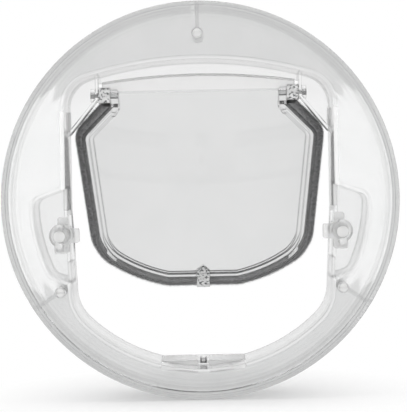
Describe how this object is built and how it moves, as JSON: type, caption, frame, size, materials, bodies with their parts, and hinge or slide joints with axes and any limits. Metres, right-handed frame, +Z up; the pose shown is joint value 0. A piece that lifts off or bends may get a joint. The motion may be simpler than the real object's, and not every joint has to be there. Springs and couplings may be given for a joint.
{
  "type": "cat flap",
  "caption": "Round clear cat flap for a glass pane: dished frames on both sides, a hinged see-through flap edged with pile, and turning side catches.",
  "frame": {"origin": "centre of the round inside frame in the plane where it seats on the room side of the glass", "axes": "+Y through the glass away from the room, +Z up, +X to the right for someone looking at the room side"},
  "size_m": [0.239, 0.124, 0.239],
  "materials": {
    "clear_plastic": "clear moulded plastic, polished",
    "natural_nylon": "natural translucent nylon",
    "pile_strip": "dense dark grey woven pile",
    "magnet": "dark sintered magnet",
    "steel": "plain zinc plated steel"
  },
  "bodies": {
    "root": {"inside_frame": "clear_plastic", "outside_frame": "clear_plastic", "sill_keeper": "steel", "left_hinge_pin": "clear_plastic", "right_hinge_pin": "clear_plastic", "left_hinge_clip": "clear_plastic", "right_hinge_clip": "clear_plastic", "left_catch_pivot": "natural_nylon", "right_catch_pivot": "natural_nylon", "left_catch_washer": "natural_nylon", "right_catch_washer": "natural_nylon", "top_clamp_screw": "natural_nylon", "left_clamp_screw": "natural_nylon", "right_clamp_screw": "natural_nylon"},
    "flap": {"flap_panel": "clear_plastic", "left_brush": "pile_strip", "right_brush": "pile_strip", "magnet_holder": "clear_plastic", "flap_magnet": "magnet", "left_pole_plate": "steel", "right_pole_plate": "steel"},
    "left_catch": {"left_catch": "clear_plastic"},
    "right_catch": {"right_catch": "clear_plastic"}
  },
  "joints": [
    {"name": "flap_swing", "type": "hinge", "parent": "root", "child": "flap", "pos_m": [0, 0.0145, 0.0644], "axis": [1, 0, 0], "range_deg": [-38, 52]},
    {"name": "left_catch_turn", "type": "hinge", "parent": "root", "child": "left_catch", "pos_m": [-0.0849, 0, -0.0205], "axis": [0, 1, 0], "range_deg": [-90, 180]},
    {"name": "right_catch_turn", "type": "hinge", "parent": "root", "child": "right_catch", "pos_m": [0.0849, 0, -0.0205], "axis": [0, -1, 0], "range_deg": [-90, 180]}
  ]
}
